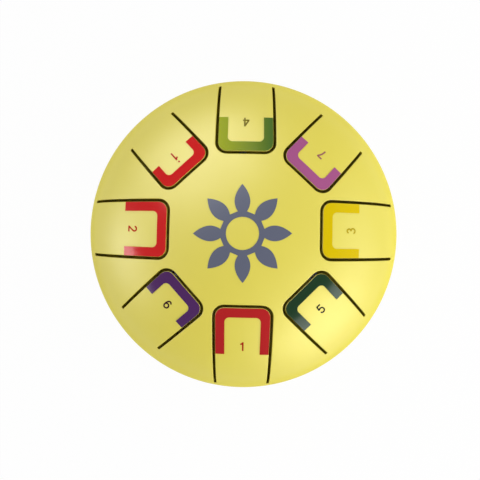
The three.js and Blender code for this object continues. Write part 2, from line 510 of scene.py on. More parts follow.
def turned(
    name: str,
    profile: Callable[[float], Profile],
    segments: int,
    crease: float = 40,
    lining: int | None = None,
) -> Mesh:
    """Turns a closed profile about the Z axis.

    Args:
        name: The mesh's name.
        profile: Gives the profile's (radius, height) points for an angle, the same number at each.
        segments: How many steps the full turn takes.
        crease: Edges bent by more than this many degrees stay sharp.
        lining: The profile's point from which material 1 covers the surface, or None for one material.

    Returns:
        The mesh.
    """
    angles = [2 * math.pi * i / segments for i in range(segments)]
    sections = [profile(angle) for angle in angles]
    count = len(sections[0])
    points = [
        (*polar(radius, angle), height)
        for angle, section in zip(angles, sections)
        for radius, height in section
    ]
    faces = []
    for i in range(segments):
        here = i * count
        there = (i + 1) % segments * count
        for j in range(count):
            k = (j + 1) % count
            faces.append((here + j, there + j, there + k, here + k))
    finishes = None if lining is None else [int(j >= lining) for j in range(count)] * segments
    mesh = new_mesh(name, np.array(points), faces, finishes=finishes)
    merge_and_crease(mesh, crease)
    return mesh


def merge_and_crease(mesh: Mesh, crease: float) -> None:
    """Joins vertices that meet on the axis, drops faces without area, turns faces out and marks sharp edges.

    Args:
        mesh: The mesh to clean.
        crease: Edges bent by more than this many degrees stay sharp.
    """
    draft = bmesh.new()
    draft.from_mesh(mesh)
    bmesh.ops.remove_doubles(draft, verts=draft.verts, dist=SAME_VERTEX)
    bmesh.ops.dissolve_degenerate(draft, dist=SAME_VERTEX / 10, edges=draft.edges)
    bmesh.ops.recalc_face_normals(draft, faces=draft.faces)
    draft.to_mesh(mesh)
    draft.free()
    mesh.set_sharp_from_angle(angle=math.radians(crease))


def link(name: str, data: bpy.types.ID) -> Piece:
    """Makes an object and puts it in the scene.

    Args:
        name: Its name.
        data: Its mesh, lamp or camera.

    Returns:
        The object.
    """
    made = bpy.data.objects.new(name, data)
    bpy.context.scene.collection.objects.link(made)
    return made


def add_piece(name: str, mesh: Mesh, materials: Sequence[Material]) -> Piece:
    """Puts a mesh in the scene.

    Args:
        name: The piece's name.
        mesh: Its mesh.
        materials: Its materials, in the order of the mesh's material numbers.

    Returns:
        The new object.
    """
    mesh.materials.clear()
    for material in materials:
        mesh.materials.append(material)
    return link(name, mesh)


def settle(piece: Piece, body: str, node: str, slot: Slot) -> None:
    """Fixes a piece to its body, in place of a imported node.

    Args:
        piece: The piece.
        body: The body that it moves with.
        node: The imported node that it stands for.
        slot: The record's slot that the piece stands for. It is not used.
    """
    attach(piece, body)
    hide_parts(node)
    LOG.info("%s rides on %s", piece.name, body)


def lay_film(
    name: str, form: DomeForm, patch: PlanPatch, lifts: tuple[float, float], material: Material
) -> Piece:
    """Lays a thin closed film on the dome.

    Args:
        name: The piece's name.
        form: The dome.
        patch: The film seen from above.
        lifts: How far its underside and its top lie over the dome.
        material: Its material.

    Returns:
        The new object.
    """
    bottom, top = (form.outside(patch.plan, lift) for lift in lifts)
    mesh = closed_sheet(name, patch, top, bottom, form.normals(patch.plan))
    return add_piece(name, mesh, [material, material])


class Tree:
    """A material's or group's node tree, with short calls to fill it."""

    def __init__(self, tree: bpy.types.NodeTree) -> None:
        """Starts from an empty tree."""
        self.tree = tree
        tree.nodes.clear()

    @staticmethod
    def of(owner: Material | bpy.types.World) -> "Tree":
        """Turns on the nodes of a material or a world and gives its tree."""
        owner.use_nodes = True
        return Tree(owner.node_tree)

    def add(self, kind: str, inputs: dict | None = None, **settings: object) -> bpy.types.Node:
        """Adds a node.

        Args:
            kind: The node's type, without the ShaderNode that starts it.
            inputs: Values or sockets for the node's inputs, by name or number.
            **settings: The node's own settings.

        Returns:
            The node.
        """
        node = self.tree.nodes.new(kind if kind.startswith("Node") else "ShaderNode" + kind)
        for name, value in settings.items():
            setattr(node, name, value)
        for name, value in (inputs or {}).items():
            if isinstance(value, Socket):
                self.tree.links.new(value, node.inputs[name])
            else:
                node.inputs[name].default_value = value
        return node

    def blend(self, mask: Socket, first: object, second: object) -> Socket:
        """Mixes two colours or colour sockets by a mask, which is 0 for the first."""
        return self.add("Mix", {0: mask, 6: first, 7: second}, data_type="RGBA").outputs[2]

    def along(self, place: str, way: tuple[float, float, float]) -> Socket:
        """Gives how far each point lies along a way, by the place that the texture coordinates give it."""
        spot = self.add("TexCoord").outputs[place]
        return self.add("VectorMath", {0: spot, 1: way}, operation="DOT_PRODUCT").outputs["Value"]

    def combine(self, operation: str, first: object, second: object) -> Socket:
        """Joins two numbers or sockets by one step of arithmetic."""
        return self.add("Math", {0: first, 1: second}, operation=operation).outputs[0]

    def span(
        self,
        value: Socket,
        low: object,
        high: object,
        start: float = 0.0,
        stop: float = 1.0,
        smooth: bool = False,
    ) -> Socket:
        """Stretches a value's own range over another, and holds it at the ends.

        Args:
            value: The value.
            low: What the start becomes, a number or a socket.
            high: What the stop becomes, a number or a socket.
            start: Where the value's own range starts.
            stop: Where the value's own range stops.
            smooth: Whether it eases in and out at the ends.

        Returns:
            The stretched value.
        """
        ends = {"Value": value, "From Min": start, "From Max": stop, "To Min": low, "To Max": high}
        ease = "SMOOTHSTEP" if smooth else "LINEAR"
        return self.add("MapRange", ends, interpolation_type=ease).outputs["Result"]


class SharedGroup:
    """A shader node group that several finishes use, built when the first of them asks for it."""

    label = ""
    inputs: dict[str, float] = {}
    outputs: tuple[str, ...] = ()

    @staticmethod
    def fill(draft: Tree, given: Sockets) -> Sockets:
        """Builds the nodes between the inputs and the outputs, each kind of group in its own way."""
        raise NotImplementedError

    @classmethod
    def tree(cls) -> bpy.types.NodeTree:
        """Finds the group, or builds it the first time.

        Returns:
            The group.
        """
        found = bpy.data.node_groups.get(cls.label)
        if found:
            return found
        group = bpy.data.node_groups.new(cls.label, "ShaderNodeTree")
        for name, value in cls.inputs.items():
            socket = group.interface.new_socket(name, in_out="INPUT", socket_type="NodeSocketFloat")
            socket.default_value = value
        for name in cls.outputs:
            group.interface.new_socket(name, in_out="OUTPUT", socket_type="NodeSocketFloat")
        draft = Tree(group)
        given = draft.add("NodeGroupInput").outputs
        draft.add("NodeGroupOutput", cls.fill(draft, given))
        return group


class GrainGroup(SharedGroup):
    """What no painted, moulded or printed surface lacks: slow unevenness and fine grain."""

    label = "surface_grain"
    inputs = {"Patch Scale": 20.0, "Grain Scale": 900.0}
    outputs = ("Patches", "Grain")

    @staticmethod
    def fill(draft: Tree, given: Sockets) -> Sockets:
        """Draws slow patches and fine grain from noise.

        Args:
            draft: The group's tree.
            given: The group's inputs.

        Returns:
            The group's outputs.
        """
        place = draft.add("TexCoord").outputs["Object"]
        patches = draft.add("TexNoise", {"Vector": place, "Scale": given["Patch Scale"], "Detail": 3.0})
        fine = {"Vector": place, "Scale": given["Grain Scale"], "Detail": 2.0, "Roughness": 0.55}
        grain = draft.add("TexNoise", fine)
        spread = draft.span(patches.outputs[0], 0.0, 1.0, start=0.3, stop=0.7)
        return {"Patches": spread, "Grain": grain.outputs[0]}


class ScuffGroup(SharedGroup):
    """The hairline scuffs and smears that handling leaves."""

    label = "handling_scuffs"
    inputs = {"Scale": 60.0, "Amount": 0.5}
    outputs = ("Scuffs",)

    @staticmethod
    def fill(draft: Tree, given: Sockets) -> Sockets:
        """Draws noise out to bent streaks and keeps its peaks.

        Args:
            draft: The group's tree.
            given: The group's inputs.

        Returns:
            The group's outputs.
        """
        place = draft.add("TexCoord").outputs["Object"]
        drift = draft.add("TexNoise", {"Vector": place, "Scale": given["Scale"], "Detail": 1.0})
        bent = draft.add("VectorMath", {0: drift.outputs["Color"], "Scale": 0.02}, operation="SCALE")
        moved = draft.add("VectorMath", {0: place, 1: bent.outputs[0]}, operation="ADD")
        drawn = draft.add("Mapping", {"Vector": moved.outputs[0], "Scale": (1.0, 14.0, 6.0)})
        lines = draft.add("TexNoise", {"Vector": drawn.outputs[0], "Scale": given["Scale"], "Detail": 4.0})
        peaks = draft.span(lines.outputs[0], 0.0, 1.0, start=0.6, stop=0.72)
        return {"Scuffs": draft.combine("MULTIPLY", peaks, given["Amount"])}


@dataclass(frozen=True)
class Finish:
    """What every finish has: a colour that drifts, a gloss that varies and a fine relief."""

    name: str
    colour: Colour
    shade: Colour  # what the colour drifts to in patches
    gloss: tuple[float, float]  # roughness where the surface is smoothest and roughest
    patch_scale: float = 22.0
    grain_scale: float = 900.0
    grain_depth: float = 0.004 * MM
    scuffs: float = 0.0
    settings: dict[str, float] = field(default_factory=dict)
    glance: float | None = None  # roughness where the surface is seen edge-on, if it differs
    glance_range: tuple[float, float] = (0.5, 0.8)  # from here to there it turns to that, 1 being edge-on

    def colour_socket(self, tree: Tree, patches: Socket) -> Socket:
        """Gives the colour, which drifts with the mask of slow unevenness."""
        return tree.blend(patches, self.colour, self.shade)

    def rough_socket(self, tree: Tree, patches: Socket) -> Socket:
        """Gives the roughness. Where the surface has a glance, its grain hides the gloss from a low view.

        Args:
            tree: The material's tree.
            patches: The mask of slow unevenness.

        Returns:
            The roughness.
        """
        rough = tree.span(patches, *self.gloss)
        if self.scuffs:
            worn = tree.add("Group", {"Amount": self.scuffs}, node_tree=ScuffGroup.tree())
            rough = tree.combine("ADD", rough, worn.outputs["Scuffs"])
        if self.glance is not None:
            facing = tree.add("LayerWeight", {"Blend": 0.5}).outputs["Facing"]
            rough = tree.span(facing, rough, self.glance, *self.glance_range, smooth=True)
        return rough

    def make(self) -> Material:
        """Builds the material.

        Returns:
            The material.
        """
        material = bpy.data.materials.new(self.name)
        tree = Tree.of(material)
        scales = {"Patch Scale": self.patch_scale, "Grain Scale": self.grain_scale}
        grain = tree.add("Group", scales, node_tree=GrainGroup.tree()).outputs
        relief = tree.add("Bump", {"Height": grain["Grain"], "Distance": self.grain_depth, "Strength": 1.0})
        looks = {
            "Base Color": self.colour_socket(tree, grain["Patches"]),
            "Roughness": self.rough_socket(tree, grain["Patches"]),
            "Normal": relief.outputs["Normal"],
            **self.settings,
        }
        shader = tree.add("BsdfPrincipled", looks)
        tree.add("OutputMaterial", {"Surface": shader.outputs[0]})
        return material


@dataclass(frozen=True)
class FadingFilm(Finish):
    """A film whose colour runs from one side of its tongue to the other."""

    far_colour: Colour = WHITE
    way: tuple[float, float, float] = (1.0, 0.0, 0.0)  # across the tongue, towards the far colour
    reach: float = 12 * MM  # how far from the middle each colour is reached

    def colour_socket(self, tree: Tree, patches: Socket) -> Socket:
        """Gives the colour, faded from side to side.

        Args:
            tree: The material's tree.
            patches: The mask of slow unevenness, which the fade takes the place of.

        Returns:
            The colour.
        """
        share = tree.span(tree.along("Object", self.way), 0.0, 1.0, -self.reach, self.reach)
        return tree.blend(share, self.colour, self.far_colour)


PAINT = Finish(
    "satin_yellow_powder_coat",
    colour=screen(226, 212, 60),
    shade=screen(222, 207, 50),
    gloss=(0.45, 0.52),
    grain_scale=640.0,
    grain_depth=0.013 * MM,
    scuffs=0.05,
    settings={"Specular IOR Level": 0.8},
    glance=0.95,
)
# The bowl's inside is near-black: painted shade, which keeps the view through the slots black.
INSIDE_SHADE = Finish(
    "dark_oxide_inside",
    colour=screen(40, 38, 36),
    shade=screen(24, 23, 23),
    gloss=(0.6, 0.8),
    grain_scale=1500.0,
    settings={"Specular IOR Level": 0.25},
)
PRINT = Finish(
    "slate_screen_print",
    colour=screen(84, 90, 112),
    shade=screen(78, 83, 104),
    gloss=(0.36, 0.46),
    grain_scale=1400.0,
    grain_depth=0.003 * MM,
    glance=0.95,
)
RUBBER = Finish(
    "moulded_foot_rubber",
    colour=screen(30, 30, 32),
    shade=screen(42, 41, 42),
    gloss=(0.62, 0.8),
    patch_scale=120.0,
    grain_scale=2600.0,
    grain_depth=0.02 * MM,
)
ZINC = Finish(
    "bright_zinc_plate",
    colour=screen(188, 190, 192),
    shade=screen(160, 163, 168),
    gloss=(0.22, 0.38),
    patch_scale=260.0,
    grain_scale=3200.0,
    grain_depth=0.004 * MM,
    scuffs=0.15,
    settings={"Metallic": 1.0},
)
# The cut edges and the undersides of the shell and tongues are real; their near-black colour is painted
# shade, which keeps the slots black.
CUT_EDGE_SHADE = Finish(
    "laser_cut_edge",
    colour=screen(12, 11, 10),
    shade=screen(5, 5, 5),
    gloss=(0.6, 0.8),
    grain_scale=4000.0,
    grain_depth=0.01 * MM,
    settings={"Specular IOR Level": 0.12},
)


@dataclass
class SlottedDome:
    """The upper shell and its tongues, cut from one fine sheet so that they meet without a seam."""

    form: DomeForm
    places: dict[str, TonguePlace]
    spacing: float = 1.6 * MM
    edge_step: float = 1.0 * MM
    edge_roll: float = 0.3 * MM  # paint rounds the cut edges over this width
    roll_drop: float = 0.11 * MM  # how far the rounded edge lies under the dome
    keep_clear: float = 0.55 * MM  # between the grid's points and the lines
    hair: float = 1e-5  # a point this near to a line lies on it
    stiff_share: float = 0.15  # of the bare steel behind the marker, the part that stays straight
    patches: dict[str, PlanPatch] = field(default_factory=dict)

    def window(self, place: TonguePlace, grown: float) -> Path:
        """Draws a slot's outer line and its two ends, in the tongue's frame.

        Args:
            place: The tongue's place.
            grown: How far outside the slot the line runs.

        Returns:
            The points.
        """
        root = place.window_root + grown
        half = place.half_width
        bend = place.window_root - place.slot_round
        side = half + place.slot + grown
        round_off = place.slot_round + grown
        corner = place.corner + place.slot + grown
        step = self.edge_step
        return [
            *line((root, -half), (root, round_off - side), step),
            *arc((bend, round_off - side), round_off, 0, -1, steps=5),
            *round_free_end(bend, place.end - place.slot - grown, side, corner, step),
            *arc((bend, side - round_off), round_off, 1, 0, steps=5),
            *line((root, side - round_off), (root, half), step),
        ]

    def outlines(self, place: TonguePlace) -> dict[str, Path]:
        """Draws the lines that the sheet is cut and rolled along, in the tongue's frame.

        Args:
            place: The tongue's place.

        Returns:
            The window, the tongue, and the roll's edge outside and inside the slot.
        """
        root = place.window_root
        half = place.half_width
        step = self.edge_step
        roll = self.edge_roll
        back = [(root, half), *line((root, half - roll), (root, roll - half), step), (root, roll - half)]
        tongue = round_free_end(root, place.end, half, place.corner, step)
        inner_roll = round_free_end(root, place.end + roll, half - roll, place.corner - roll, step)
        outer_roll = self.window(place, roll)
        return {
            "window": [*self.window(place, 0.0), *back],
            "tongue": [*tongue, *back],
            "outer_roll": [(root, roll - half), *outer_roll, (root + roll, half), (root, half - roll)],
            "inner_roll": [*inner_roll, (root, half - roll)],
        }

    def grid(self) -> Array:
        """Spreads points over the flat layout in rings.

        Returns:
            The points, one a row.
        """
        rings = round(self.form.radius / self.spacing)
        points = [(0.0, 0.0)]
        for i in range(1, rings + 1):
            reach = self.form.radius * i / rings
            count = max(6, round(2 * math.pi * reach / self.spacing))
            half_step = 0.5 * (i % 2)
            points.extend(polar(reach, 2 * math.pi * (j + half_step) / count) for j in range(count))
        return np.array(points)

    def cut(self) -> None:
        """Triangulates the sheet and sorts it into the shell and the tongues."""
        points = []
        edges = []
        faces = []
        for place in self.places.values():
            for kind, local in self.outlines(place).items():
                start = len(points)
                points.extend(self.form.unroll(place.plan(local)))
                numbers = list(range(start, len(points)))
                if kind in ("window", "tongue"):
                    faces.append(numbers)
                else:
                    edges.extend(zip(numbers, numbers[1:]))
        lines = np.array(points)
        grid = clear_of(self.grid(), lines, self.keep_clear)
        corners, triangles, holders = triangulate(np.concatenate([lines, grid]), edges, faces)
        whole = PlanPatch(self.form.roll(corners), triangles)
        owners = np.full(len(triangles), "shell", dtype="U16")
        for i, holder in enumerate(holders):
            for k, name in enumerate(self.places):
                if 2 * k + 1 in holder:
                    owners[i] = name
                elif 2 * k in holder:
                    owners[i] = "slot"
        for name in ("shell", *self.places):
            self.patches[name] = whole.only(owners == name)

    def rolled(self, patch: PlanPatch) -> tuple[Array, Array]:
        """Rounds a patch's outer surface over the slots' edges.

        Args:
            patch: The patch.

        Returns:
            The surface's points and shading normals.
        """
        top = self.form.outside(patch.plan)
        normals = self.form.normals(patch.plan)
        hair = self.hair
        for place in self.places.values():
            local_u = patch.plan @ place.out
            local_v = patch.plan @ place.across - place.offset
            bend = place.end + place.corner
            side = place.half_width - place.corner
            across = np.abs(local_v) - side
            along = bend - local_u
            distance = np.where(
                (across > 0) & (along > 0),
                np.hypot(np.maximum(across, 0), np.maximum(along, 0)),
                np.maximum(across, along),
            ) - place.corner
            in_slot = (distance > -hair) & (distance < place.slot + hair)
            on_edge = in_slot & (local_u < place.window_root + hair)
            outwards = np.where(distance > place.slot / 2, -1.0, 1.0)
            away = np.column_stack([np.minimum(-along, 0), np.sign(local_v) * np.maximum(across, 0)])
            away /= np.maximum(np.linalg.norm(away, axis=1), TINY)[:, None]
            slot_end = (local_u > place.window_root - place.slot_round / 2) & (distance > hair)
            away[slot_end] = (-1.0, 0.0)
            outwards[slot_end] = 1.0
            towards = np.outer(away[:, 0], place.out) + np.outer(away[:, 1], place.across)
            tilt = np.column_stack([towards * outwards[:, None], np.zeros(len(towards))])
            top[on_edge, 2] -= self.roll_drop
            normals[on_edge] = normals[on_edge] + tilt[on_edge]
        normals /= np.linalg.norm(normals, axis=1)[:, None]
        return top, normals

    def build(self, paint: Material, edge: Material) -> None:
        """Builds and fits the shell and the tongues.

        Args:
            paint: The outside's material.
            edge: The material of the cut edges and the inside, near-black as painted shade that keeps the
                slots black.
        """
        self.cut()
        for name, patch in self.patches.items():
            top, normals = self.rolled(patch)
            bottom = self.form.inside(patch.plan)
            label = "upper_shell" if name == "shell" else f"tongue_{name}"
            mesh = closed_sheet(f"{label}_sheet", patch, top, bottom, normals)
            piece = add_piece(f"{label}_sheet", mesh, [paint, edge])
            if name == "shell":
                settle(piece, "drum", "upper_shell", Slot.PAINT)
                continue
            self.flex(piece, name)

    def flex(self, piece: Piece, name: str) -> None:
        """Bakes a tongue's sheet in place and hides the imported tongue. Where it would bend, from its root
        to near its marker, is found but not used.

        Args:
            piece: The tongue's sheet.
            name: The tongue's note.
        """
        place = self.places[name]
        start = place.plan([(place.window_root, 0)])[0]
        stop = place.plan([(place.leg_end + (place.root - place.leg_end) * self.stiff_share, 0)])[0]
        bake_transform(piece)
        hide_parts(f"tongue_{name}")
        LOG.info("%s bends between drum and tongue_%s", piece.name, name)


@dataclass
class Marker:
    """The glossy vinyl band round a tongue's free end."""

    note: Note
    place: TonguePlace
    form: DomeForm
    margin: float = 0.08 * MM
    side_band: float = 4.0 * MM
    tip_band: float = 4.2 * MM
    inner_corner: float = 2.2 * MM
    lifts: tuple[float, float] = (0.02 * MM, 0.26 * MM)  # of its underside and its top over the dome
    step: float = 0.8 * MM
    grid_ratio: float = 1.3  # of the step, between the points inside the band
    drift: float = 0.9  # how bright the film is where its colour has drifted furthest

    def outline(self) -> Path:
        """Draws the band in the tongue's frame.

        Returns:
            The points.
        """
        place = self.place
        end = place.end + self.margin
        half = place.half_width - self.margin
        inner = half - self.side_band
        bend = end + self.tip_band + self.inner_corner
        turn = inner - self.inner_corner
        leg = place.leg_end
        return [
            *round_free_end(leg, end, half, place.corner - self.margin, self.step),
            *line((leg, half), (leg, inner), self.step),
            *line((leg, inner), (bend, inner), self.step),
            *arc((bend, turn), self.inner_corner, 1, 2),
            *line((bend - self.inner_corner, turn), (bend - self.inner_corner, -turn), self.step),
            *arc((bend, -turn), self.inner_corner, -2, -1),
            *line((bend, -inner), (leg, -inner), self.step),
            *line((leg, -inner), (leg, -half), self.step),
        ]

    def patch(self) -> PlanPatch:
        """Triangulates the band.

        Returns:
            The patch.
        """
        outline = np.array(self.outline())
        low, high = outline.min(axis=0), outline.max(axis=0)
        columns, rows = (np.arange(low[i], high[i], self.step * self.grid_ratio) for i in (0, 1))
        grid = np.array([(u, v) for u in columns for v in rows])
        flat = filled([outline], clear_of(grid, outline, self.step / 2))
        return PlanPatch(self.place.plan(flat.plan), flat.triangles)

    def finish(self) -> Finish:
        """Gives the vinyl's finish.

        Returns:
            The finish.
        """
        note = self.note
        shared = {
            "name": f"gloss_vinyl_{note.name}",
            "colour": note.film,
            "shade": dimmed(note.film, self.drift),
            "gloss": (0.12, 0.17),
            "grain_scale": 420.0,
            "grain_depth": 0.005 * MM,
            "scuffs": 0.04,
            "settings": {"Specular IOR Level": note.shine},
            "glance": 0.8,
        }
        if note.fade is None:
            return Finish(**shared)
        return FadingFilm(**shared, far_colour=note.fade)

    def build(self) -> None:
        """Builds the band and fixes it to its tongue."""
        name = self.note.name
        material = self.finish().make()
        piece = lay_film(f"marker_film_{name}", self.form, self.patch(), self.lifts, material)
        settle(piece, f"tongue_{name}", f"marker_{name}", self.note.slot)


def sweep(centre: Spot, radii: Spot, start: float, stop: float, step: float = 12) -> Path:
    """Spreads points along part of an ellipse.

    Args:
        centre: The ellipse's centre.
        radii: Its half width and half height.
        start: The first point's angle in degrees.
        stop: The last point's angle in degrees.
        step: About how many degrees lie between two points.

    Returns:
        The points.
    """
    angles = np.radians(np.linspace(start, stop, 3 + round(abs(stop - start) / step)))
    return [(centre[0] + radii[0] * math.cos(a), centre[1] + radii[1] * math.sin(a)) for a in angles]


def band(path: Profile, width: float) -> Profile:
    """Draws the outline of a stroke with straight ends.

    Args:
        path: The points of the stroke's middle line.
        width: The stroke's width.

    Returns:
        The outline.
    """
    points = np.array(path)
    ways = np.diff(points, axis=0)
    ways /= np.linalg.norm(ways, axis=1)[:, None]
    sides = np.column_stack([-ways[:, 1], ways[:, 0]])
    joints = np.concatenate([sides[:1], (sides[:-1] + sides[1:]) / 2, sides[-1:]])
    joints /= (joints**2).sum(1)[:, None]
    return [*(points + joints * width / 2), *(points - joints * width / 2)[::-1]]


# Strokes of upright digits of height 1 round the origin. A straight stroke has its two ends.
STROKES: dict[str, list[Profile]] = {
    "1": [[(0.07, -0.5), (0.07, 0.5)], [(0.08, 0.44), (-0.02, 0.33), (-0.19, 0.25)]],
    "2": [
        [*sweep((0, 0.2), (0.24, 0.235), 172, -20), (0.06, -0.1), (-0.24, -0.41)],
        [(-0.31, -0.435), (0.3, -0.435)],
    ],
    "3": [sweep((-0.01, 0.22), (0.2, 0.215), 165, -95), sweep((-0.01, -0.205), (0.245, 0.235), 95, -165)],
    "4": [[(0.13, -0.5), (0.13, 0.5)], [(0.13, 0.46), (-0.28, -0.2)], [(-0.33, -0.21), (0.32, -0.21)]],
    "5": [
        [(-0.2, 0.435), (0.26, 0.435)],
        [(-0.16, 0.47), (-0.23, -0.02)],
        sweep((0.01, -0.165), (0.26, 0.27), 148, -160),
    ],
    "6": [
        sweep((0.01, -0.175), (0.245, 0.26), -10, 190),
        sweep((0.01, -0.175), (0.245, 0.26), 170, 370),
        sweep((0.03, -0.06), (0.265, 0.495), 42, 186),
    ],
    "7": [[(-0.29, 0.435), (0.3, 0.435)], [(0.26, 0.42), (0.09, 0.18), (-0.02, -0.1), (-0.07, -0.5)]],
}


@dataclass
class Digit:
    """A note's printed digit, with a dot over it for the higher octave."""

    note: Note
    place: TonguePlace
    form: DomeForm
    height: float = 4.3 * MM
    stroke: float = 0.155  # of the height
    dot_radius: float = 0.42 * MM
    dot_gap: float = 0.75 * MM
    dot_steps: int = 20
    lifts: tuple[float, float] = (0.005 * MM, 0.05 * MM)  # of its underside and its top over the dome
    step: float = 0.6 * MM
    drift: float = 0.88  # how bright the ink is where its colour has drifted furthest

    def outlines(self) -> list[Array]:
        """Draws the strokes upright, with the digit's middle at the origin.

        Returns:
            One closed outline for each stroke.
        """
        drawn = [np.array(band(path, self.stroke)) * self.height for path in STROKES[self.note.digit]]
        if self.note.dotted:
            middle = (0.0, self.height / 2 + self.dot_gap + self.dot_radius)
            drawn.append(np.array(arc(middle, self.dot_radius, 0, 4, self.dot_steps)))
        return drawn

    def patch(self) -> PlanPatch:
        """Joins the strokes and lays them on the tongue, with the digit's top towards the crown.

        Returns:
            The patch.
        """
        loops = []
        for outline in self.outlines():
            sides = zip(outline, np.roll(outline, -1, axis=0))
            pieces = [line(tuple(here), tuple(there), self.step) for here, there in sides]
            loops.append([spot for piece in pieces for spot in piece])
        flat = filled(loops)
        local = np.column_stack([self.note.digit_reach - flat.plan[:, 1], flat.plan[:, 0]])
        return PlanPatch(self.place.plan(local), flat.triangles)

    def build(self) -> None:
        """Builds the digit and fixes it to its tongue."""
        note = self.note
        ink = Finish(
            f"digit_ink_{note.name}",
            colour=note.ink,
            shade=dimmed(note.ink, self.drift),
            gloss=(0.3, 0.42),
            patch_scale=300.0,
            grain_scale=2200.0,
            settings={"Specular IOR Level": 0.05},
        )
        piece = lay_film(f"digit_{note.name}", self.form, self.patch(), self.lifts, ink.make())
        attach(piece, f"tongue_{note.name}")
        LOG.info("%s rides on tongue_%s", piece.name, note.name)


@dataclass
class Rosette:
    """The ring of leaves printed at the crown."""

    form: DomeForm
    leaves: int = 8
    tip: float = 21 * MM
    bulge: float = 15.5 * MM
    bulge_angle: float = 0.36
    root: float = 9.5 * MM
    root_angle: float = 0.2
    bore: float = 7 * MM
    lifts: tuple[float, float] = (0.02 * MM, 0.14 * MM)  # of its underside and its top over the dome
    steps: int = 14
    bore_steps: int = 72
    ring_gap: float = 1.2 * MM  # between the rings of points inside the print
    point_gap: float = 0.2 * MM  # between the points of such a ring
    keep_clear: float = 0.5 * MM  # between those points and the outline

    def outline(self) -> tuple[Path, Path]:
        """Draws the print's outline from curves that run from leaf root to leaf tip and back.

        Returns:
            The outer edge and the bore.
        """
        rising = [(self.root, -self.root_angle), (self.bulge, -self.bulge_angle)]
        falling = [(self.bulge, self.bulge_angle), (self.root, self.root_angle)]
        spots = [*rising, (self.tip, 0.0), *falling]
        outer = []
        for i in range(self.leaves):
            middle = 2 * math.pi * i / self.leaves
            points = [polar(reach, middle + angle) for reach, angle in spots]
            for start, pull, stop in (points[0:3], points[2:5]):
                for j in range(self.steps):
                    t = j / self.steps
                    weights = ((1 - t) ** 2, 2 * t * (1 - t), t * t)
                    outer.append(tuple(
                        weights[0] * start[k] + weights[1] * pull[k] + weights[2] * stop[k] for k in (0, 1)
                    ))
            outer.append(points[4])
        return outer, arc((0.0, 0.0), self.bore, 0, 4, self.bore_steps)

    def build(self, ink: Material) -> None:
        """Builds the ring and fixes it to the drum.

        Args:
            ink: The print's material.
        """
        outer, bore = self.outline()
        spread = [
            polar(reach, angle)
            for reach in np.arange(self.bore, self.tip, self.ring_gap)
            for angle in np.linspace(0, 2 * math.pi, max(8, round(reach / self.point_gap)), endpoint=False)
        ]
        inner = clear_of(np.array(spread), np.array([*outer, *bore]), self.keep_clear)
        patch = filled([outer, bore], inner, hole=1)
        piece = lay_film("crown_rosette_print", self.form, patch, self.lifts, ink)
        settle(piece, "drum", "crown_rosette", Slot.PRINT)


@dataclass
class Bowl:
    """The lower shell: a rounded wall, a flat underside and a sound hole with a turned-up lip."""

    form: DomeForm
    base: float
    flat_radius: float = 54 * MM
    hole_radius: float = 20 * MM
    bend_radius: float = 2.4 * MM
    lip: float = 2.2 * MM
    segments: int = 224
    steps: int = 40
    bend_steps: int = 10

    def wall_points(self, inwards: float) -> Path:
        """Runs from the belt down the wall to the flat underside.

        Args:
            inwards: How far the line lies inside the outer surface, measured square to it.

        Returns:
            The points.
        """
        across = self.form.radius - self.flat_radius
        deep = self.form.belt - self.base
        points = []
        for i in range(self.steps + 1):
            angle = (math.pi / 2) * i / self.steps
            normal = Vector((math.cos(angle) / across, -math.sin(angle) / deep)).normalized()
            radius = self.flat_radius + across * math.cos(angle) - normal.x * inwards
            height = self.form.belt - deep * math.sin(angle) - normal.y * inwards
            points.append((radius, height))
        return points

    def profile(self, _angle: float) -> Profile:
        """Gives the section: down the outside, round the lip and back up the inside.

        Args:
            _angle: The section's angle, which changes nothing here.

        Returns:
            The points.
        """
        wall = self.form.wall
        centre = (self.hole_radius + self.bend_radius, self.base + self.bend_radius)
        top = centre[1] + self.lip
        outer_bend = arc(centre, self.bend_radius, 3, 2, self.bend_steps)
        inner_bend = arc(centre, self.bend_radius - wall, 2, 3, self.bend_steps)
        round_top = arc((self.hole_radius + wall / 2, top - wall / 2), wall / 2, 2, 0, self.bend_steps)
        inside = reversed(self.wall_points(wall))
        return [*self.wall_points(0.0), *outer_bend, *round_top, *inner_bend, *inside]

    def build(self, paint: Material, lining: Material) -> None:
        """Builds the bowl and fixes it to the drum.

        Args:
            paint: The outside's and the lip's material.
            lining: The inside's material, near-black as painted shade.
        """
        painted = self.steps + 1 + 2 * self.bend_steps
        mesh = turned("lower_shell_sheet", self.profile, self.segments, lining=painted)
        settle(add_piece("lower_shell_sheet", mesh, [paint, lining]), "drum", "lower_shell", Slot.PAINT)


@dataclass
class Weld:
    """The painted weld that fills the groove between the shells."""

    form: DomeForm
    crown: float = 0.3 * MM
    half_height: float = 0.75 * MM
    ripple: float = 0.09 * MM
    waves: tuple[tuple[int, float, float], ...] = ((118, 1.0, 0.0), (71, 0.6, 1.3), (37, 0.4, 0.4))
    segments: int = 720

    def profile(self, angle: float) -> Profile:
        """Gives the section at an angle, with the weld's slow ripples in its crown.

        Args:
            angle: The section's angle.

        Returns:
            The points.
        """
        # Each wave has its number round the drum, its share and its phase. The shares add up to 2.
        swell = sum(share * math.sin(angle * count + phase) for count, share, phase in self.waves)
        crown = self.crown - self.ripple * (0.5 + swell / 4)
        radius, belt = self.form.radius, self.form.belt
        face = sweep((radius, belt), (crown, self.half_height), -90, 90, step=30)
        return [(radius - self.form.wall / 2, belt), *face]

    def build(self, paint: Material) -> None:
        """Builds the weld with the paint on it and fixes it to the drum."""
        mesh = turned("belt_weld", self.profile, self.segments)
        settle(add_piece("belt_weld", mesh, [paint]), "drum", "weld_bead", Slot.PAINT)


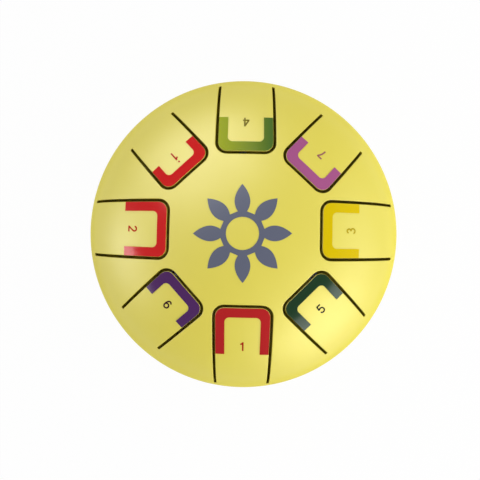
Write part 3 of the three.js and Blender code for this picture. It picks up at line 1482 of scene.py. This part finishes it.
@dataclass
class FootSet:
    """The rubber feet with their screws and nuts."""

    form: DomeForm
    height: float
    top_radius: float = 8.0 * MM
    bottom_radius: float = 6.6 * MM
    edge_round: float = 0.8 * MM
    side_slope: float = 0.05  # of the foot's side, in quarter turns
    bore: float = 2.2 * MM
    pocket_radius: float = 4.2 * MM
    pocket_round: float = 0.3 * MM
    head_recess: float = 1.5 * MM
    head_radius: float = 3.6 * MM
    head_height: float = 2.4 * MM
    head_round: float = 1.0 * MM
    shank: float = 2.0 * MM
    thread_start: float = 0.6 * MM  # from the head to the thread
    thread_stop: float = 0.2 * MM  # from the thread to the screw's end
    thread_pitch: float = 0.7 * MM
    thread_depth: float = 0.35 * MM
    thread_steps: int = 8  # to a pitch
    cross_reach: float = 2.1 * MM
    cross_half_width: float = 0.5 * MM
    cross_ends: tuple[Spot, Spot] = ((-0.5 * MM, 1.2), (1.4 * MM, 0.62))  # depths, each with its share
    nut_flats: float = 7.0 * MM
    nut_height: float = 3.2 * MM
    nut_face: float = 0.97  # of the flats, where the corners are turned off
    nut_slope: float = 30.0  # of the turned corners, in degrees
    nut_slack: float = 0.05 * MM  # round the screw
    nut_lead: float = 0.35 * MM
    past_nut: float = 1.2 * MM
    seat: float = 0.05 * MM
    screw_crease: float = 30.0

    def foot_profile(self, _angle: float) -> Profile:
        """Gives the foot's section, with moulded edges.

        Args:
            _angle: The section's angle, which changes nothing here.

        Returns:
            The points.
        """
        top = self.height - self.seat
        pocket_top = self.head_recess + self.head_height + self.seat
        edge = self.edge_round
        pocket = self.pocket_round
        return [
            (self.bore, pocket_top),
            *arc((self.pocket_radius - pocket, pocket_top - pocket), pocket, 1, 0, steps=4),
            *arc((self.pocket_radius + pocket, pocket), pocket, 2, 3, steps=5),
            *arc((self.bottom_radius - edge, edge), edge, 3, 4 - self.side_slope, steps=6),
            *arc((self.top_radius - edge, top - edge), edge, -self.side_slope, 1, steps=6),
            (self.top_radius - edge, top),
            (self.bore, top),
        ]

    def screw_profile(self, angle: float) -> Profile:
        """Gives the screw's section, with its thread run up to an angle.

        Args:
            angle: The section's angle.

        Returns:
            The points.
        """
        head_top = self.head_recess + self.head_height
        end = self.height + self.form.wall + self.seat + self.nut_height + self.past_nut
        edge = self.head_round
        head = [
            (0.0, self.head_recess),
            *arc((self.head_radius - edge, self.head_recess + edge), edge, 3, 4, steps=6),
            (self.head_radius, head_top),
            (self.shank, head_top),
        ]
        shank = []
        rise = self.thread_pitch / self.thread_steps
        for height in np.arange(head_top + self.thread_start, end - self.thread_stop, rise):
            phase = (height / self.thread_pitch - angle / (2 * math.pi)) % 1
            shank.append((self.shank - self.thread_depth * abs(2 * phase - 1), height))
        return [*head, *shank, (self.shank - self.thread_depth, end), (0.0, end)]

    def nut_profile(self, angle: float) -> Profile:
        """Gives the nut's section at an angle: a hexagon with its corners turned off.

        Args:
            angle: The section's angle.

        Returns:
            The points.
        """
        apothem = self.nut_flats / 2
        face = apothem * self.nut_face
        sixth = math.pi / 3
        reach = apothem / math.cos((angle % sixth) - sixth / 2)
        low = self.height + self.form.wall + self.seat
        high = low + self.nut_height
        chamfer = max(0.0, reach - face) * math.tan(math.radians(self.nut_slope))
        bore = self.shank + self.nut_slack
        lead = self.nut_lead
        return [
            (bore, low + lead), (bore + lead, low), (face, low), (reach, low + chamfer),
            (reach, high - chamfer), (face, high), (bore + lead, high), (bore, high - lead),
        ]

    def cross_recess(self) -> Piece:
        """Makes the tapered cross that is sunk into the screw's head.

        Returns:
            The cross, which is cut away from the screw.
        """
        points = []
        for depth, share in self.cross_ends:
            long = self.cross_reach * share
            short = self.cross_half_width * share
            ring = [(long, short), (short, short), (short, long)]
            for _ in range(3):
                ring.extend([(-y, x) for x, y in ring[-3:]])
            points.extend((x, y, self.head_recess + depth) for x, y in ring)
        count = len(points) // 2
        sides = [(i, (i + 1) % count, (i + 1) % count + count, i + count) for i in range(count)]
        faces = [tuple(reversed(range(count))), tuple(range(count, 2 * count)), *sides]
        mesh = bpy.data.meshes.new("cross_recess")
        mesh.from_pydata(points, [], faces)
        return add_piece("cross_recess", mesh, [])

    def screw_mesh(self) -> Mesh:
        """Builds the screw with its recess.

        Returns:
            The screw's mesh.
        """
        whole = turned("plain_screw", self.screw_profile, segments=48, crease=self.screw_crease)
        plain = add_piece("plain_screw", whole, [])
        cutter = self.cross_recess()
        cut = plain.modifiers.new("recess", "BOOLEAN")
        cut.operation = "DIFFERENCE"
        cut.solver = "EXACT"
        cut.object = cutter
        graph = bpy.context.evaluated_depsgraph_get()
        mesh = bpy.data.meshes.new_from_object(plain.evaluated_get(graph))
        for spent in (plain, cutter):
            bpy.data.objects.remove(spent)
        mesh.name = "foot_screw"
        mesh.set_sharp_from_angle(angle=math.radians(self.screw_crease))
        return mesh

    def build(self, rubber: Material, zinc: Material) -> None:
        """Builds each foot, screw and nut and fixes them to the drum.

        Args:
            rubber: The feet's material.
            zinc: The screws' and nuts' material.
        """
        kinds = {
            "foot": (turned("foot_rubber", self.foot_profile, segments=96), rubber, Slot.RUBBER),
            "foot_screw": (self.screw_mesh(), zinc, Slot.ZINC),
            "foot_nut": (turned("foot_nut", self.nut_profile, segments=72, crease=25), zinc, Slot.ZINC),
        }
        for number in (1, 2, 3):
            low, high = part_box(f"foot_{number}")
            middle = (low + high) / 2
            for kind, (mesh, material, slot) in kinds.items():
                own = mesh.copy()
                own.transform(Matrix.Translation((middle.x, middle.y, 0)))
                piece = add_piece(f"{kind}_{number}_fine", own, [material])
                settle(piece, "drum", f"{kind}_{number}", slot)


@dataclass(frozen=True)
class AreaLamp:
    """A soft box that looks at the drum."""

    name: str
    bearing: float  # degrees anticlockwise from +X
    height: float  # degrees over the horizon
    away: float
    size: tuple[float, float]
    radiance: float  # 1 shows as white
    sheen_only: bool = False  # only mirrored by the surfaces, as a white card is that no lamp lights much

    def build(self, target: Vector) -> None:
        """Puts the lamp in the scene.

        Args:
            target: The point that it looks at.
        """
        data = bpy.data.lights.new(self.name, "AREA")
        data.shape = "RECTANGLE"
        data.size, data.size_y = self.size
        data.energy = self.radiance * math.pi * self.size[0] * self.size[1]
        lamp = link(self.name, data)
        bearing, height = math.radians(self.bearing), math.radians(self.height)
        level = math.cos(height)
        towards = Vector((level * math.cos(bearing), level * math.sin(bearing), math.sin(height)))
        lamp.location = target + towards * self.away
        lamp.rotation_euler = (-towards).to_track_quat("-Z", "Y").to_euler()
        lamp.visible_camera = False
        lamp.visible_diffuse = not self.sheen_only


@dataclass
class Studio:
    """The camera over the drum, the pale floor, the even sky and the soft boxes."""

    form: DomeForm
    focal_pixels: float = 454.1
    picture_width: float = 480.0  # in the same pixels
    sensor: float = 36.0
    near: float = 0.01  # what lies nearer to the camera isn't seen
    eye: tuple[float, float, float] = (1.27 * MM, -2.3 * MM, 234 * MM)  # from the middle of the belt
    aim: tuple[float, float] = (-1.55 * MM, -2.87 * MM)
    sky: float = 0.775
    dim_side: float = 220.0  # bearing in degrees where the sky is dimmest
    dim_share: float = 0.15
    floor: Colour = (0.9, 0.9, 0.9, 1.0)
    floor_half: float = 4.0  # half the floor's width
    floor_glow: float = 0.96  # share of plain white in what is seen of the floor
    under_drum: tuple[float, float] = (50 * MM, 94 * MM)  # the white fades out between these radii
    lamps: tuple[AreaLamp, ...] = (
        AreaLamp("key_box", -38, 19, 0.9, size=(1.1, 0.36), radiance=1.45),
        AreaLamp("right_window", 4, 27, 0.9, size=(0.7, 0.4), radiance=1.8),
        AreaLamp("key_card", -49, 22, 0.9, size=(0.74, 0.46), radiance=5.2, sheen_only=True),
        AreaLamp("sheen_card", 119, 42, 0.8, size=(0.8, 0.56), radiance=5.6, sheen_only=True),
        AreaLamp("left_card", 184, 21, 0.8, size=(0.36, 0.2), radiance=11.0, sheen_only=True),
        AreaLamp("side_card", 203, 24, 0.8, size=(0.3, 0.2), radiance=3.6, sheen_only=True),
    )

    def place_camera(self) -> None:
        """Sets the camera where the photograph was taken from."""
        data = bpy.data.cameras.new("camera")
        data.sensor_width = self.sensor
        data.lens = self.focal_pixels * self.sensor / self.picture_width
        data.clip_start = self.near
        camera = link("camera", data)
        spot = Vector(self.eye) + Vector((0, 0, self.form.belt))
        target = Vector((*self.aim, self.form.belt))
        back = (spot - target).normalized()
        right = Vector((0, 1, 0)).cross(back).normalized()
        up = back.cross(right)
        camera.matrix_world = Matrix((
            (right.x, up.x, back.x, spot.x),
            (right.y, up.y, back.y, spot.y),
            (right.z, up.z, back.z, spot.z),
            (0, 0, 0, 1),
        ))
        bpy.context.scene.camera = camera

    def seen(self, tree: Tree) -> Socket:
        """Gives 1 for rays from the camera, a reflection or glass, and 0 for those that light things.

        Args:
            tree: The material's or world's tree.

        Returns:
            The mask.
        """
        path = tree.add("LightPath").outputs
        some = tree.combine("MAXIMUM", path["Is Camera Ray"], path["Is Glossy Ray"])
        return tree.combine("MAXIMUM", some, path["Is Transmission Ray"])

    def build_sky(self) -> None:
        """Lights the scene evenly from all round and shows white behind it."""
        world = bpy.data.worlds.new("even_sky")
        bpy.context.scene.world = world
        tree = Tree.of(world)
        bearing = math.radians(self.dim_side)
        side = tree.along("Generated", (math.cos(bearing), math.sin(bearing), 0))
        light = tree.span(side, self.sky, self.sky * (1 - self.dim_share))
        strength = tree.span(self.seen(tree), light, 1.0)
        sky = tree.add("Background", {"Color": WHITE, "Strength": strength})
        tree.add("OutputWorld", {"Surface": sky.outputs[0]})

    def build_floor(self) -> None:
        """Lays the pale floor, which shows nearly white, keeps the drum's shadow and is clear from below."""
        mesh = bpy.data.meshes.new("floor")
        half = self.floor_half
        corners = [(-half, -half, 0), (half, -half, 0), (half, half, 0), (-half, half, 0)]
        mesh.from_pydata(corners, [], [(0, 1, 2, 3)])
        floor = link("floor", mesh)
        material = bpy.data.materials.new("pale_floor")
        tree = Tree.of(material)
        matt = tree.add("BsdfDiffuse", {"Color": self.floor})
        glow = tree.add("Emission", {"Color": WHITE, "Strength": 1.0})
        place = tree.add("TexCoord").outputs["Object"]
        reach = tree.add("VectorMath", {0: place}, operation="LENGTH").outputs["Value"]
        outside = tree.span(reach, 0.0, self.floor_glow, *self.under_drum, smooth=True)
        share = tree.combine("MULTIPLY", self.seen(tree), outside)
        mixed = tree.add("MixShader", {0: share, 1: matt.outputs[0], 2: glow.outputs[0]})
        below = tree.add("NewGeometry").outputs["Backfacing"]
        clear = tree.add("BsdfTransparent")
        surface = tree.add("MixShader", {0: below, 1: mixed.outputs[0], 2: clear.outputs[0]})
        tree.add("OutputMaterial", {"Surface": surface.outputs[0]})
        mesh.materials.append(material)

    def build(self) -> None:
        """Builds the whole studio."""
        self.place_camera()
        self.build_sky()
        self.build_floor()
        for lamp in self.lamps:
            lamp.build(Vector((0, 0, self.form.belt)))
        bpy.context.scene.view_settings.view_transform = "Standard"


def main() -> None:
    """Dresses the drum and lights it."""
    logging.basicConfig(level=logging.INFO, format="%(message)s")
    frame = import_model()
    form = DomeForm.from_frame()
    Studio(form).build()

    paint = PAINT.make()
    edge = CUT_EDGE_SHADE.make()
    places = {note.name: TonguePlace.from_frame(frame, note) for note in NOTES}
    SlottedDome(form, places).build(paint, edge)
    for note in NOTES:
        Marker(note, places[note.name], form).build()
        Digit(note, places[note.name], form).build()
    Rosette(form).build(PRINT.make())
    foot_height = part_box("lower_shell")[0].z
    Bowl(form, foot_height).build(paint, INSIDE_SHADE.make())
    Weld(form).build(paint)
    FootSet(form, foot_height).build(RUBBER.make(), ZINC.make())


if __name__ == "__main__":
    main()
